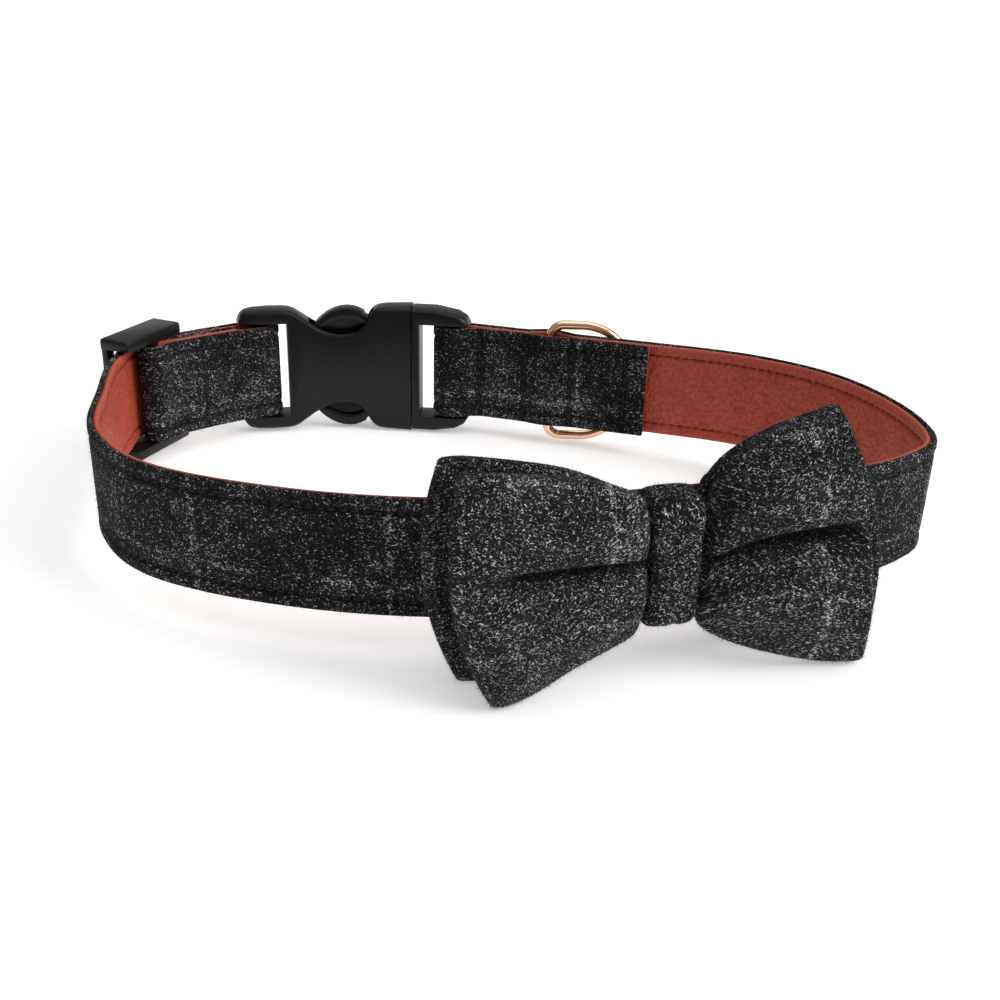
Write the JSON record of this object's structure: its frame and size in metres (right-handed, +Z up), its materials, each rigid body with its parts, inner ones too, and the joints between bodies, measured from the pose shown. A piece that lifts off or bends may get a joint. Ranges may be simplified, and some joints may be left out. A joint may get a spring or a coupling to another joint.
{
  "type": "pet bow tie collar",
  "caption": "Buckled pet collar strap of tweed on leather with a side-release buckle, a slide adjuster, a D-ring and a pinched bow tie.",
  "frame": {"origin": "centre of the bottom of the bounding box, on the surface that the collar stands on", "axes": "+X to the right as seen from the front, -Y to the front where the bow sits, +Z up"},
  "size_m": [0.1858, 0.1348, 0.0503],
  "materials": {
    "tweed_strap": "woven wool tweed, charcoal with pale flecks",
    "tweed_bow_back": "woven wool tweed, charcoal with pale flecks",
    "tweed_bow_front": "woven wool tweed, charcoal with pale flecks",
    "tweed_knot": "woven wool tweed, charcoal with pale flecks",
    "leather_lining": "pebbled brick-red leather, stitched near both edges",
    "plastic_female": "satin black moulded",
    "plastic_male": "satin black moulded",
    "plastic_slide": "satin black moulded",
    "gold_ring": "polished pale gold plating",
    "elastic_left": "black knitted elastic",
    "elastic_right": "black knitted elastic"
  },
  "bodies": {
    "collar": {"strap_tweed": "tweed_strap", "strap_lining": "leather_lining", "buckle_female": "plastic_female", "buckle_male": "plastic_male", "slide_adjuster": "plastic_slide", "bow_back": "tweed_bow_back", "bow_front": "tweed_bow_front", "bow_knot": "tweed_knot", "bow_loop_left": "elastic_left", "bow_loop_right": "elastic_right"},
    "ring": {"d_ring": "gold_ring"}
  },
  "joints": [
    {"name": "d_ring_swing", "type": "hinge", "parent": "collar", "child": "ring", "pos_m": [0.01434, 0.05735, 0.01674], "axis": [-0.0066, 0.0327, 0.9994], "range_deg": [0, 125]}
  ]
}
